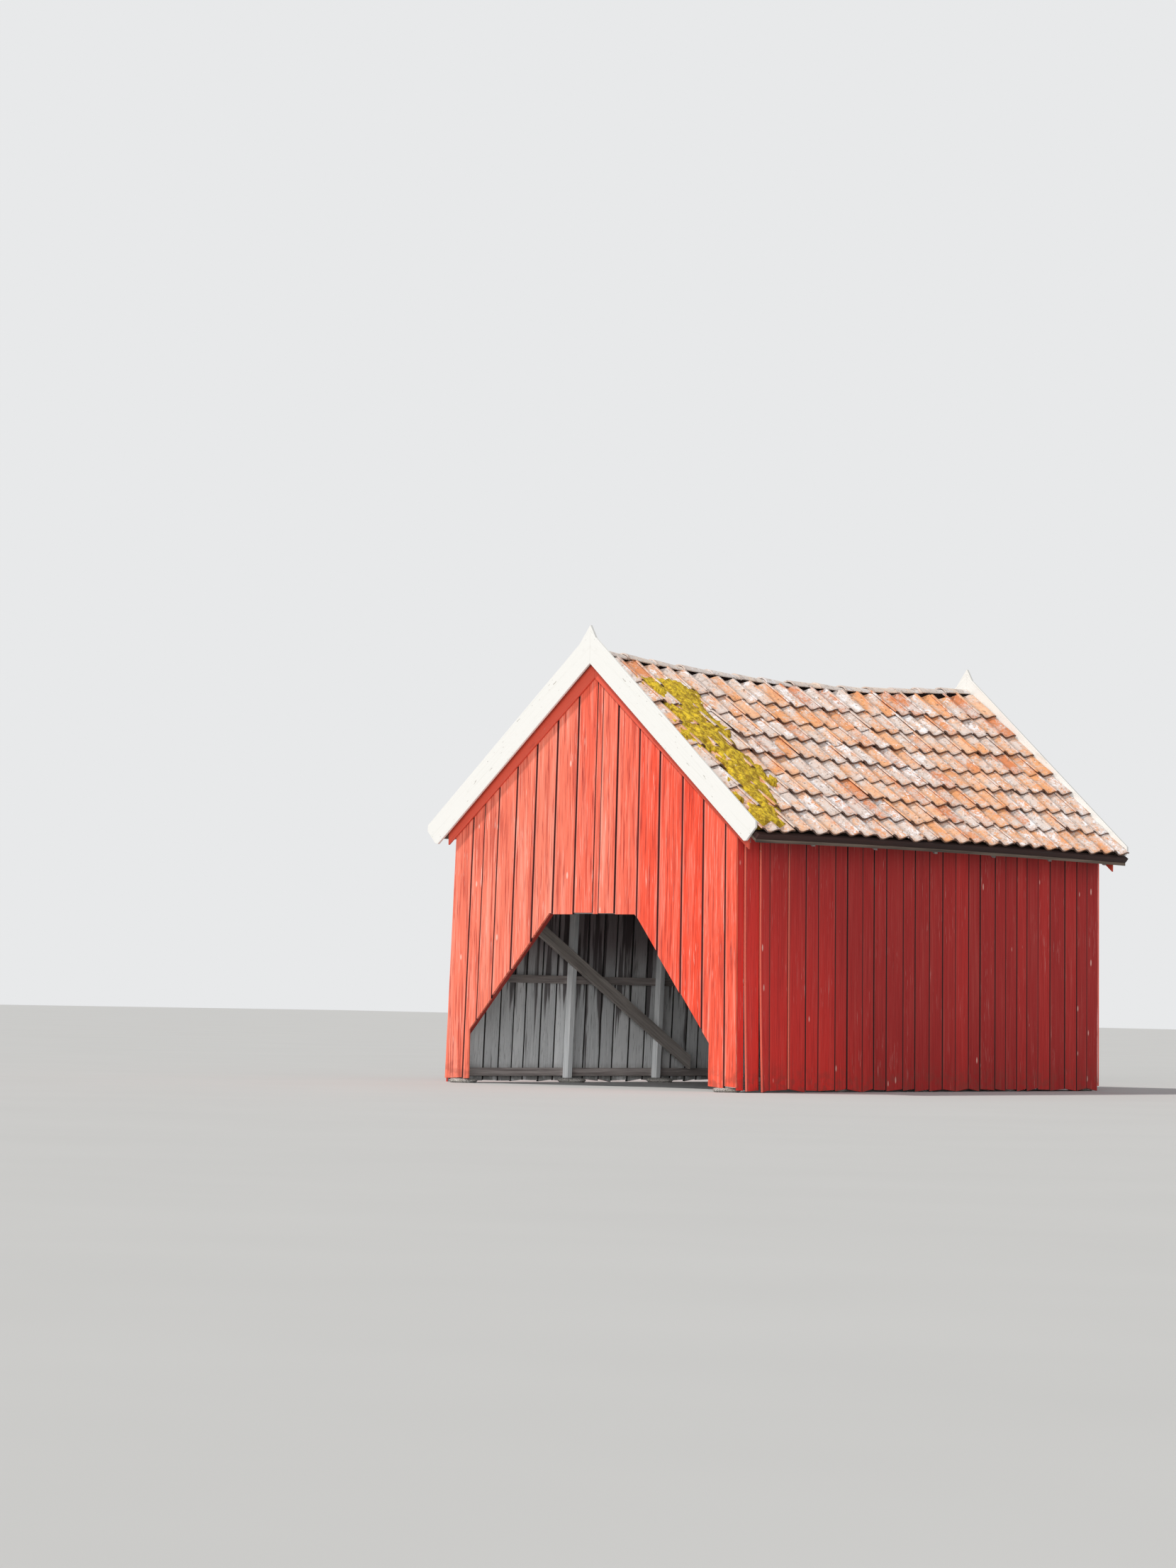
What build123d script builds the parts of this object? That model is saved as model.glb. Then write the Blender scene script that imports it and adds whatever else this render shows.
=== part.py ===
"""Small timber boathouse with an open front and a sagging pantiled roof.

Millimetres. X runs along the front from left to right, Y from the front to the rear and Z up.
The origin lies on the ground under the middle of the building.
"""
from build123d import *
import os
from math import cos, radians, sin, tan

# Walls, measured over the outside of the cladding
wall_width = 3100
wall_length = 5250
cladding_thickness = 22
cladding_clearance = 40
side_clearance = 12
left_lean = 80
right_lean = 35

# Timber frame
post_depth = 60
post_width = 100
side_post_width = 60
rail_depth = 70
rail_thickness = 50
bottom_rail_clearance = 15
middle_rail_height = 870
plate_depth = 80
plate_top = 2190
tie_depth = 100
tie_width = 75
tie_end_inset = 60
brace_depth = 110
brace_thickness = 32
brace_top_height = 1826
brace_foot_height = 180
brace_foot_distance = 3140
rafter_notch_clearance = 6
stone_size = 260
stone_height = 38
stone_inset = 24
stone_corner_cut = 52
stone_edge_cut = 8
first_side_post = 1500
side_bays = 4

# Opening in the front wall
opening_height = 1415
opening_top_width = 940
left_jamb_width = 273
right_jamb_width = 292
left_kink_height = 420
right_kink_height = 355
header_depth = 100
header_thickness = 70
knee_depth = 90
knee_thickness = 50

# Roof, its layers measured square to the slope from the top of the rafters
roof_pitch = 40.8
rafter_peak_height = 3585
rafter_depth = 100
rafter_thickness = 50
rafter_pairs = 7
roof_board_thickness = 20
batten_depth = 25
batten_width = 45
gable_overhang = 60
left_eaves_reach = 1800
right_eaves_reach = 1870
rafter_tail_inset = 230
roof_board_inset = 75
verge_end_inset = 180
ridge_sag = 105
sag_spans = 6
peak_joint = 1

# Tile courses
course_count = 8
tile_lap = 80
tile_thickness = 22
tile_clearance = 0.3
tile_ridge_inset = 55

# Ridge tiles
ridge_tile_count = 14
ridge_tile_radius = 95
ridge_tile_clearance = 2
ridge_tile_spread = 12
ridge_tile_thickness = 13
ridge_tile_lap = 45
ridge_tile_top = 3700
ridge_batten_width = 50

# Boards that edge the gables
barge_width = 200
barge_thickness = 25
barge_peak_height = 3822
barge_end_reach = 1832
barge_end_height = 2186
barge_clip = 34
barge_tip_rise = 55
barge_tip_width = 155
barge_tip_foot = 80
verge_depth = 110
verge_thickness = 20

# Values worked out from the sizes above
front = -wall_length / 2
rear = wall_length / 2
roof_front = front - gable_overhang
roof_rear = rear + gable_overhang
roof_length = roof_rear - roof_front
slope_cos = cos(radians(roof_pitch))
slope_sin = sin(radians(roof_pitch))
slope_tan = tan(radians(roof_pitch))
rail_inset = cladding_thickness
post_inset = rail_inset + rail_thickness
frame_inset = post_inset + post_depth
post_foot = stone_height
post_top = plate_top - plate_depth
eaves_height = rafter_peak_height - wall_width / 2 * slope_tan
opening_top = cladding_clearance + opening_height
LEFT, RIGHT = -1, 1
sides = {"left": LEFT, "right": RIGHT}
lean = {LEFT: left_lean, RIGHT: right_lean}
eaves_reach = {LEFT: left_eaves_reach, RIGHT: right_eaves_reach}


def wall_x(side, inset, height):
    """X of a plane that lies inset behind a side wall's outer face, which leans out at its foot."""
    foot_share = (eaves_height - height) / (eaves_height - cladding_clearance)
    return side * (wall_width / 2 - inset + lean[side] * foot_share)


def sag(y):
    """How far the ridge hangs below a straight line at y, in straight spans."""
    place = (y - roof_front) / roof_length * sag_spans
    span = min(max(int(place), 0), sag_spans - 1)
    low, high = span / sag_spans, (span + 1) / sag_spans
    share = place - span
    return 4 * ridge_sag * ((1 - share) * low * (1 - low) + share * high * (1 - high))


def run_at(x, rise):
    """Distance down the slope of the point that lies rise above the rafters at x from the ridge."""
    return (x - rise * slope_sin) / slope_cos


def roof_point(side, run, rise, y):
    """X and Z of a roof point, run down the slope and rise above the tops of the rafters."""
    x = run * slope_cos + rise * slope_sin
    ridge_share = 1 - x / (wall_width / 2)
    z = rafter_peak_height - run * slope_sin + rise * slope_cos - sag(y) * ridge_share
    return side * x, z


def prism(outline, y_start, y_end):
    """A straight piece with one outline in XZ, from y_start to y_end."""
    face = Face(Wire.make_polygon([(x, y_start, z) for x, z in outline]))
    return Solid.extrude(face, Vector(0, y_end - y_start, 0))


def sagging_prism(outline_at, y_start, y_end):
    """A piece along Y whose outline follows the sagging roof, straight between the spans' ends."""
    ends = [roof_front + roof_length * k / sag_spans for k in range(sag_spans + 1)]
    stations = [y_start] + [y for y in ends if y_start + 1 < y < y_end - 1] + [y_end]
    wires = [Wire.make_polygon([(x, y, z) for x, z in outline_at(y)]) for y in stations]
    return Solid.make_loft(wires, ruled=True)


def roof_layer(side, corners, y_start, y_end):
    """A roof piece from its corners, each a run and a rise, between two places along Y."""
    return sagging_prism(
        lambda y: [roof_point(side, run, rise, y) for run, rise in corners], y_start, y_end
    )


def slab_corners(run_start, run_end, rise_low, rise_high):
    """Corners of a slab between two runs and two rises."""
    return [(run_start, rise_high), (run_end, rise_high), (run_end, rise_low), (run_start, rise_low)]


def wall_strip(side, inset, thickness, z_low, z_high, y_start, y_end):
    """A piece that lies along a side wall and leans with it."""
    outline = [
        (wall_x(side, inset, z_low), z_low),
        (wall_x(side, inset, z_high), z_high),
        (wall_x(side, inset + thickness, z_high), z_high),
        (wall_x(side, inset + thickness, z_low), z_low),
    ]
    return prism(outline, y_start, y_end)


def box(x_low, x_high, y_low, y_high, z_low, z_high):
    """A box between two corners."""
    size = Box(x_high - x_low, y_high - y_low, z_high - z_low)
    return size.moved(Location(((x_low + x_high) / 2, (y_low + y_high) / 2, (z_low + z_high) / 2)))


def save(name, *solids):
    """Write one node, from one solid or several that don't touch."""
    loose = [solid for shape in solids for solid in shape.solids()]
    shape = loose[0] if len(loose) == 1 else Compound(loose)
    export_step(shape, f"parts/{name}.step")


# Positions along the building

def rafter_starts():
    """Front face of each pair of rafters, the first and last against the gable cladding."""
    first = front + cladding_thickness
    last = rear - cladding_thickness - rafter_thickness
    return [first + (last - first) * k / (rafter_pairs - 1) for k in range(rafter_pairs)]


def bay_lines():
    """Middle of each side post between the corner posts, the bays behind the first one alike."""
    first = front + first_side_post
    last = rear - cladding_thickness - post_width / 2
    return [first + (last - first) * k / (side_bays - 1) for k in range(side_bays - 1)]


# Cladding

def gable_top(y):
    """Outline of a gable wall's top edge, up against the roof boards, from left to right."""
    return [
        roof_point(LEFT, run_at(wall_width / 2, 0), 0, y),
        roof_point(LEFT, 0, 0, y),
        roof_point(RIGHT, run_at(wall_width / 2, 0), 0, y),
    ]


def wall_edge(side, height):
    """Outer corner of a gable wall at a height."""
    return wall_x(side, 0, height), height


def opening_side(side):
    """Foot, kink and top corner of one side of the opening."""
    jamb, kink = {
        LEFT: (left_jamb_width, left_kink_height),
        RIGHT: (right_jamb_width, right_kink_height),
    }[side]
    foot_x = wall_x(side, jamb, cladding_clearance)
    kink_z = cladding_clearance + kink
    return (foot_x, cladding_clearance), (foot_x, kink_z), (side * opening_top_width / 2, opening_top)


def front_cladding():
    """The front wall: a leg on each side of the opening and the gable above it."""
    y_end = front + cladding_thickness
    for name, side in sides.items():
        foot, kink, corner = opening_side(side)
        outline = [wall_edge(side, cladding_clearance), foot, kink, corner, wall_edge(side, opening_top)]
        save(f"front_cladding_{name}", prism(outline, front, y_end))

    def gable(y):
        return [wall_edge(LEFT, opening_top)] + gable_top(y) + [wall_edge(RIGHT, opening_top)]

    save("front_cladding_gable", sagging_prism(gable, front, y_end))


def rear_cladding():
    """The closed rear wall with its gable."""
    def outline(y):
        return [wall_edge(LEFT, cladding_clearance)] + gable_top(y) + [wall_edge(RIGHT, cladding_clearance)]

    save("rear_cladding", sagging_prism(outline, rear - cladding_thickness, rear))


def side_cladding():
    """The side walls, which close the space between the rafters up to the roof boards."""
    for name, side in sides.items():
        def outline(y):
            outer = wall_width / 2
            inner = outer - cladding_thickness
            return [
                wall_edge(side, side_clearance),
                roof_point(side, run_at(outer, 0), 0, y),
                roof_point(side, run_at(inner, 0), 0, y),
                (wall_x(side, cladding_thickness, side_clearance), side_clearance),
            ]

        wall = sagging_prism(outline, front + cladding_thickness, rear - cladding_thickness)
        for y in rafter_starts():
            under_rafter = roof_point(side, run_at(wall_width / 2, -rafter_depth), -rafter_depth, y)[1]
            seat = under_rafter - rafter_notch_clearance
            wall = wall - box(-wall_width, wall_width, y, y + rafter_thickness, seat, rafter_peak_height)
        save(f"{name}_cladding", wall)


# Frame of the walls

def corner_posts():
    """A post in each corner, as deep as the side posts and rails together."""
    depth = rail_thickness + post_depth
    for end, y_start in (("front", front + cladding_thickness), ("rear", rear - cladding_thickness - post_width)):
        for name, side in sides.items():
            post = wall_strip(side, rail_inset, depth, post_foot, post_top, y_start, y_start + post_width)
            save(f"{end}_{name}_post", post)


def side_posts():
    """The posts between the corners, behind the rails."""
    half = side_post_width / 2
    for name, side in sides.items():
        posts = [
            wall_strip(side, post_inset, post_depth, post_foot, post_top, y - half, y + half)
            for y in bay_lines()
        ]
        save(f"{name}_side_posts", *posts)


def side_rails():
    """The horizontal rails that carry the side boards: one near the ground and one half way up."""
    y_start = front + cladding_thickness + post_width
    y_end = rear - cladding_thickness - post_width
    for name, side in sides.items():
        rails = [
            wall_strip(side, rail_inset, rail_thickness, z, z + rail_depth, y_start, y_end)
            for z in (cladding_clearance + bottom_rail_clearance, middle_rail_height)
        ]
        save(f"{name}_rails", *rails)


def wall_plates():
    """The plates on top of the posts, from gable to gable."""
    for name, side in sides.items():
        save(f"{name}_wall_plate", wall_plate(side))


def wall_plate(side):
    """One wall plate, which covers the rails' and the posts' thickness."""
    inner = wall_x(side, frame_inset, plate_top)
    outer = wall_x(side, rail_inset, plate_top)
    return box(
        min(inner, outer), max(inner, outer),
        front + cladding_thickness, rear - cladding_thickness,
        plate_top - plate_depth, plate_top,
    )


def braces():
    """A plank on the inside of each side wall, from the front post down to the bottom rail."""
    y_top = front + cladding_thickness + header_thickness
    y_foot = front + brace_foot_distance
    slope = (brace_top_height - brace_foot_height) / (y_foot - y_top)
    half = brace_depth / 2 * (1 + slope ** 2) ** 0.5
    for name, side in sides.items():
        corners = [
            (y_top, brace_top_height - half),
            (y_top, brace_top_height + half),
            (y_foot, brace_foot_height + half),
            (y_foot, brace_foot_height - half),
        ]
        inner = [(wall_x(side, frame_inset, z), y, z) for y, z in corners]
        outer = [(wall_x(side, frame_inset + brace_thickness, z), y, z) for y, z in corners]
        plank = Solid.make_loft([Wire.make_polygon(inner), Wire.make_polygon(outer)], ruled=True)
        save(f"{name}_brace", plank)


def rear_frame():
    """Rails and a middle post behind the rear boards."""
    y_end = rear - cladding_thickness
    y_rail = y_end - rail_thickness
    rails = []
    for z in (cladding_clearance + bottom_rail_clearance, middle_rail_height):
        outline = [
            (wall_x(LEFT, frame_inset, z), z),
            (wall_x(LEFT, frame_inset, z + rail_depth), z + rail_depth),
            (wall_x(RIGHT, frame_inset, z + rail_depth), z + rail_depth),
            (wall_x(RIGHT, frame_inset, z), z),
        ]
        rails.append(prism(outline, y_rail, y_end))
    save("rear_rails", *rails)
    half = post_width / 2
    save("rear_middle_post", box(-half, half, y_rail - post_depth, y_rail, post_foot, plate_top))


def front_frame():
    """The header over the opening and the slanting planks along its upper sides."""
    y_start = front + cladding_thickness
    header_top = opening_top + header_depth
    header = [
        (wall_x(LEFT, frame_inset, opening_top), opening_top),
        (wall_x(LEFT, frame_inset, header_top), header_top),
        (wall_x(RIGHT, frame_inset, header_top), header_top),
        (wall_x(RIGHT, frame_inset, opening_top), opening_top),
    ]
    save("front_header", prism(header, y_start, y_start + header_thickness))
    for name, side in sides.items():
        _, kink, corner = opening_side(side)
        slope = (corner[1] - kink[1]) / abs(corner[0] - kink[0])
        width = knee_depth * (1 + 1 / slope ** 2) ** 0.5
        low = kink[1] - slope * abs(wall_x(side, frame_inset, kink[1]) - kink[0])
        high = low + knee_depth * (1 + slope ** 2) ** 0.5
        outline = [
            (wall_x(side, frame_inset, low), low),
            corner,
            (corner[0] + side * width, opening_top),
            (wall_x(side, frame_inset, high), high),
        ]
        save(f"front_{name}_knee", prism(outline, y_start, y_start + knee_thickness))


def tie_beams():
    """Beams across the building on the wall plates: one behind each gable and two between."""
    half = wall_width / 2 - cladding_thickness - tie_end_inset
    starts = rafter_starts()
    inner = [starts[2] + rafter_thickness, starts[4] + rafter_thickness]
    places = {
        "front_tie_beam": [starts[0] + rafter_thickness],
        "rear_tie_beam": [starts[-1] - tie_width],
        "middle_tie_beams": inner,
    }
    for name, ys in places.items():
        save(name, *[box(-half, half, y, y + tie_width, plate_top, plate_top + tie_depth) for y in ys])


def corner_stones():
    """The flat stones that carry the posts."""
    stones = []
    corner = front + cladding_thickness + post_width / 2
    for side in sides.values():
        x = wall_x(side, stone_inset + stone_size / 2, post_foot)
        for y in [corner, -corner] + bay_lines():
            stones.append(stone(x, y))
    rear_post_y = rear - cladding_thickness - rail_thickness - post_depth / 2
    stones.append(stone(0, rear_post_y))
    save("corner_stones", *stones)


def stone(x, y):
    """One flat stone with worn edges."""
    slab = Box(stone_size, stone_size, stone_height)
    slab = chamfer(slab.edges().filter_by(Axis.Z), stone_corner_cut)
    slab = chamfer(slab.faces().sort_by(Axis.Z)[-1].edges(), stone_edge_cut)
    return slab.moved(Location((x, y, stone_height / 2)))


# Roof

def rafters():
    """Pairs of rafters, cut plumb at the ridge and the eaves and notched over the plates."""
    for name, side in sides.items():
        plate = wall_plate(side)
        corners = [
            (run_at(peak_joint, 0), 0),
            (run_at(eaves_reach[side] - rafter_tail_inset, 0), 0),
            (run_at(eaves_reach[side] - rafter_tail_inset, -rafter_depth), -rafter_depth),
            (run_at(peak_joint, -rafter_depth), -rafter_depth),
        ]
        save(f"rafters_{name}", *[
            roof_layer(side, corners, y, y + rafter_thickness) - plate for y in rafter_starts()
        ])


def roof_boards():
    """The boarding on the rafters."""
    for name, side in sides.items():
        top = roof_board_thickness
        corners = [
            (run_at(peak_joint, top), top),
            (run_at(eaves_reach[side] - roof_board_inset, top), top),
            (run_at(eaves_reach[side] - roof_board_inset, 0), 0),
            (run_at(peak_joint, 0), 0),
        ]
        save(f"roof_boards_{name}", roof_layer(side, corners, roof_front, roof_rear))


tile_seat = roof_board_thickness + batten_depth
tile_rise = tile_thickness + tile_clearance


def course_places(side):
    """Head and tail of each tile course, from the ridge down to the eaves."""
    head = tile_ridge_inset
    tail = run_at(eaves_reach[side], tile_seat + tile_rise + tile_thickness)
    exposure = (tail - head - tile_lap) / course_count
    return [(head + exposure * k, head + exposure * (k + 1) + tile_lap) for k in range(course_count)]


def tail_lift(side):
    """How far a course's tail lies above its head's seat, on the course below."""
    head, tail = course_places(side)[0]
    return tile_rise / (1 - tile_lap / (tail - head))


def eaves_fillet(side):
    """Corners of the thicker batten at the eaves, its top against the last course."""
    head, tail = course_places(side)[-1]
    end = run_at(eaves_reach[side] - roof_board_inset, roof_board_thickness)
    start = end - batten_width
    under = [tile_seat + tail_lift(side) * (run - head) / (tail - head) for run in (start, end)]
    low = roof_board_thickness
    return [(start, under[0]), (end, under[1]), (end, low), (start, low)]


def battens():
    """The battens that carry the heads of the tiles, and the thicker one under the last tails."""
    low = roof_board_thickness
    for name, side in sides.items():
        rows = [
            roof_layer(side, slab_corners(head, head + batten_width, low, tile_seat), roof_front, roof_rear)
            for head, _ in course_places(side)
        ]
        rows.append(roof_layer(side, eaves_fillet(side), roof_front, roof_rear))
        save(f"battens_{name}", *rows)


def tile_courses():
    """The tile courses, each tilted so that its tail lies on the course below."""
    for name, side in sides.items():
        courses = []
        for head, tail in course_places(side):
            seat = tile_seat + tile_clearance
            lift = tail_lift(side)
            corners = [
                (head, seat + tile_thickness),
                (tail, seat + lift + tile_thickness),
                (tail, seat + lift),
                (head, seat),
            ]
            courses.append(roof_layer(side, corners, roof_front, roof_rear))
        save(f"tiles_{name}", *courses)


def ridge_line(y):
    """Height of the ridge tiles' centre line above the ground."""
    return ridge_tile_top - ridge_tile_radius - sag(y)


def ridge_tile_ends():
    """Cover of one ridge tile, its length, and the radius of its narrow end."""
    cover = (roof_length - ridge_tile_lap) / ridge_tile_count
    length = cover + ridge_tile_lap
    narrow_radius = ridge_tile_radius - (ridge_tile_thickness + ridge_tile_clearance) * length / cover
    return cover, length, narrow_radius


def ridge_batten():
    """The batten on the peak of the roof boards that carries the ridge tiles."""
    half = ridge_batten_width / 2
    _, _, narrow_radius = ridge_tile_ends()
    seat_radius = narrow_radius - ridge_tile_thickness - tile_clearance
    rise = (seat_radius ** 2 - half ** 2) ** 0.5
    thickness = roof_board_thickness

    def outline(y):
        left_foot = roof_point(LEFT, run_at(half, thickness), thickness, y)
        right_foot = roof_point(RIGHT, run_at(half, thickness), thickness, y)
        peak = roof_point(LEFT, run_at(0, thickness), thickness, y)
        top = ridge_line(y) + rise
        return [left_foot, (-half, top), (half, top), right_foot, peak]

    save("ridge_batten", sagging_prism(outline, roof_front, roof_rear))


def arch(y, radius):
    """A closed half ring in XZ around the ridge line, as one end of a ridge tile."""
    z = ridge_line(y)
    inner = radius - ridge_tile_thickness
    reach = radius * cos(radians(ridge_tile_spread))
    inner_reach = inner * cos(radians(ridge_tile_spread))
    foot = radius * sin(radians(ridge_tile_spread))
    inner_foot = inner * sin(radians(ridge_tile_spread))
    outer_arc = ThreePointArc((-reach, y, z + foot), (0, y, z + radius), (reach, y, z + foot))
    inner_arc = ThreePointArc((inner_reach, y, z + inner_foot), (0, y, z + inner), (-inner_reach, y, z + inner_foot))
    right_edge = Line((reach, y, z + foot), (inner_reach, y, z + inner_foot))
    left_edge = Line((-inner_reach, y, z + inner_foot), (-reach, y, z + foot))
    return Wire([outer_arc, right_edge, inner_arc, left_edge])


def ridge_tiles():
    """Half-round ridge tiles, each wide end lapped over the narrow end of the one before."""
    cover, length, narrow_radius = ridge_tile_ends()
    tiles = []
    for k in range(ridge_tile_count):
        y_start = roof_front + cover * k
        ends = [arch(y_start, ridge_tile_radius), arch(y_start + length, narrow_radius)]
        tiles.append(Solid.make_loft(ends, ruled=True))
    save("ridge_tiles", *tiles)


# Boards along the gables

def barge_point(side, along, down):
    """X and Z of a bargeboard point, along the board from the peak and down from its top edge."""
    slope = (barge_peak_height - barge_end_height) / barge_end_reach
    length = (1 + slope ** 2) ** 0.5
    x = (along - down * slope) / length
    return side * x, barge_peak_height - (along * slope + down) / length


def barge_plumb(down):
    """How far along a bargeboard the plumb line through the peak lies, down from its top edge."""
    return down * (barge_peak_height - barge_end_height) / barge_end_reach


def bargeboards():
    """Boards on the roof's ends. The left one of each pair stands up in a tip at the peak."""
    length = (barge_end_reach ** 2 + (barge_peak_height - barge_end_height) ** 2) ** 0.5
    corners = [
        (length - barge_clip, 0),
        (length, barge_clip),
        (length, barge_width - barge_clip / 2),
        (length - barge_clip / 2, barge_width),
        (barge_plumb(barge_width), barge_width),
        (0, 0),
    ]
    for end, y_start in (("front", roof_front - barge_thickness), ("rear", roof_rear)):
        for name, side in sides.items():
            outline = [barge_point(side, along, down) for along, down in corners]
            if side == LEFT:
                outline += barge_tip()
            save(f"bargeboard_{end}_{name}", prism(outline, y_start, y_start + barge_thickness))


def barge_tip():
    """Corners of the tip at the peak, from its foot on the right board round to its own edge."""
    return [
        barge_point(RIGHT, barge_tip_foot, 0),
        (0, barge_peak_height + barge_tip_rise),
        barge_point(LEFT, barge_tip_width, 0),
    ]


def verge_boards():
    """Narrow boards on the gable walls, up against the roof boards."""
    for end, y_start in (("front", front - verge_thickness), ("rear", rear)):
        boards = []
        for side in sides.values():
            corners = [
                (run_at(peak_joint, 0), 0),
                (run_at(eaves_reach[side] - verge_end_inset, 0), 0),
                (run_at(eaves_reach[side] - verge_end_inset, -verge_depth), -verge_depth),
                (run_at(peak_joint, -verge_depth), -verge_depth),
            ]
            boards.append(roof_layer(side, corners, y_start, y_start + verge_thickness))
        save(f"verge_boards_{end}", *boards)


os.makedirs("parts", exist_ok=True)
front_cladding()
rear_cladding()
side_cladding()
corner_posts()
side_posts()
side_rails()
wall_plates()
braces()
rear_frame()
front_frame()
tie_beams()
corner_stones()
rafters()
roof_boards()
battens()
tile_courses()
ridge_batten()
ridge_tiles()
bargeboards()
verge_boards()
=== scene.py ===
"""Looks of a small timber boathouse: boards, tiles, moss, paint, timber, stones and the stage.

Metres. X runs along the front from left to right, Y from the front to the rear and Z up.
"""
import math
import random

import bmesh
import bpy
from bpy.props import FloatProperty, IntProperty, PointerProperty
from mathutils import Matrix, Vector, noise
from mathutils.bvhtree import BVHTree


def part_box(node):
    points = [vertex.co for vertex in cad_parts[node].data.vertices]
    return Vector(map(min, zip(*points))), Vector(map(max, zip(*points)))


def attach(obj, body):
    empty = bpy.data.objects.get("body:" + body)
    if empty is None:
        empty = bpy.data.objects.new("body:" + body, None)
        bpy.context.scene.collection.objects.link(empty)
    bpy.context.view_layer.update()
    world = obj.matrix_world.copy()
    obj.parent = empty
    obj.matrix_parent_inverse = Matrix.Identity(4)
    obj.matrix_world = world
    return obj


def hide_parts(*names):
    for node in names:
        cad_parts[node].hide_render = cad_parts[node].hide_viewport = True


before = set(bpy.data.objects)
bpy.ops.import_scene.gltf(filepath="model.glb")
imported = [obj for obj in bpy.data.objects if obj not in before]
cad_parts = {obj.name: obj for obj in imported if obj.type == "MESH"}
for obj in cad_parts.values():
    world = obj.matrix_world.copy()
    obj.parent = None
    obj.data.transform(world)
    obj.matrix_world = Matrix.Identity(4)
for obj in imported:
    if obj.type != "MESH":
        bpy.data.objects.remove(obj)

bl_info = {
    "name": "Boathouse looks",
    "version": (1, 0, 0),
    "blender": (4, 5, 0),
    "location": "3D View > Sidebar > Boathouse",
    "description": "Boards, tiles, moss, paint and a stage for the packed boathouse",
    "category": "Object",
}

LEFT, RIGHT = -1, 1
SIDES = {"left": LEFT, "right": RIGHT}
TINY = 1e-4

# Share of a board's width that counts as its long edge
SEAM_SHARE = 0.1

# How far above the lowest foot a point of a board still belongs to its foot, and how aslant a foot may be
FOOT_ROOM = 0.002
FOOT_SLANT = 0.03

# How far rays keep from the roof boards' ridge, ends and eaves
RIDGE_ROOM = 0.004
END_ROOM = 0.002
EAVES_ROOM = 0.02

# Tile thicknesses between the battens and the top of a tail, beside its roll
TAIL_LAYERS = 3.7

# Moss: height of its edge over the roof boards, what it gains inwards and by its lumps, and its thickness
MOSS_FOOT = 0.084
MOSS_RISE = 0.030
MOSS_LUMP = 0.050
MOSS_THICKNESS = 0.075

# Steps in a ridge tile's arc
ARC_STEPS = 12

# Edges sharper than this stay sharp on tiles, in degrees
TILE_SHARP = 50

# Widths of the front boards from left to right, measured half way up the wall
FRONT_BOARDS = (
    0.20, 0.125, 0.16, 0.20, 0.215, 0.225, 0.23, 0.21, 0.06, 0.175, 0.24, 0.225, 0.25, 0.225, 0.235, 0.12,
)

# Tiles out of place: side, course from the ridge, column from the front, slip down, turn and lift
LOOSE_TILES = (
    (RIGHT, 2, 4, 0.05, 4.0, 0.012),
    (RIGHT, 3, 5, 0.04, -4.0, 0.010),
    (RIGHT, 6, 10, 0.04, 4.5, 0.012),
    (RIGHT, 0, 21, 0.04, -4.0, 0.010),
    (LEFT, 4, 9, 0.05, 6.0, 0.010),
)

# First boards of the right wall: width, how far it stands off at its front edge and how far it turns back
SPRUNG_BOARDS = (
    (0.076, 0.0, 0.1), (0.20, 0.9, -0.8), (0.136, 1.0, -0.9), (0.255, 0.1, -0.1), (0.23, 0.2, -0.2),
)

# Camera, fitted to the photograph
CAMERA_PLACE = (24.221, -30.900, 0.736)
CAMERA_YAW = 40.659
CAMERA_PITCH = 2.777
CAMERA_ROLL = 1.148
FOCAL_PIXELS = 6261.4
IMAGE_WIDTH = 1659
SENSOR_WIDTH = 36

# Where the two lamps stand, seen from the building
KEY_AIM = (-0.28, -0.50, 0.82)
SOFT_AIM = (0.50, -0.85, 0.16)


# Reading the frame

def node_mesh(node):
    """Mesh of a CAD node, whose vertices hold its place."""
    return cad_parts[node].data


def farthest(node, direction):
    """Vertex of a CAD node that lies farthest in a direction."""
    aim = Vector(direction)
    return max((vertex.co for vertex in node_mesh(node).vertices), key=aim.dot).copy()


def loose_boxes(node):
    """Corners of each separate solid in a CAD node."""
    shape = bmesh.new()
    shape.from_mesh(node_mesh(node))
    bmesh.ops.remove_doubles(shape, verts=shape.verts, dist=TINY)
    waiting = set(shape.verts)
    boxes = []
    while waiting:
        found = []
        border = [waiting.pop()]
        while border:
            vertex = border.pop()
            found.append(vertex.co.copy())
            for edge in vertex.link_edges:
                other = edge.other_vert(vertex)
                if other in waiting:
                    waiting.remove(other)
                    border.append(other)
        corners = [[pick(place[axis] for place in found) for axis in range(3)] for pick in (min, max)]
        boxes.append([Vector(corner) for corner in corners])
    shape.free()
    return sorted(boxes, key=lambda box: tuple(box[0]))


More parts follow.
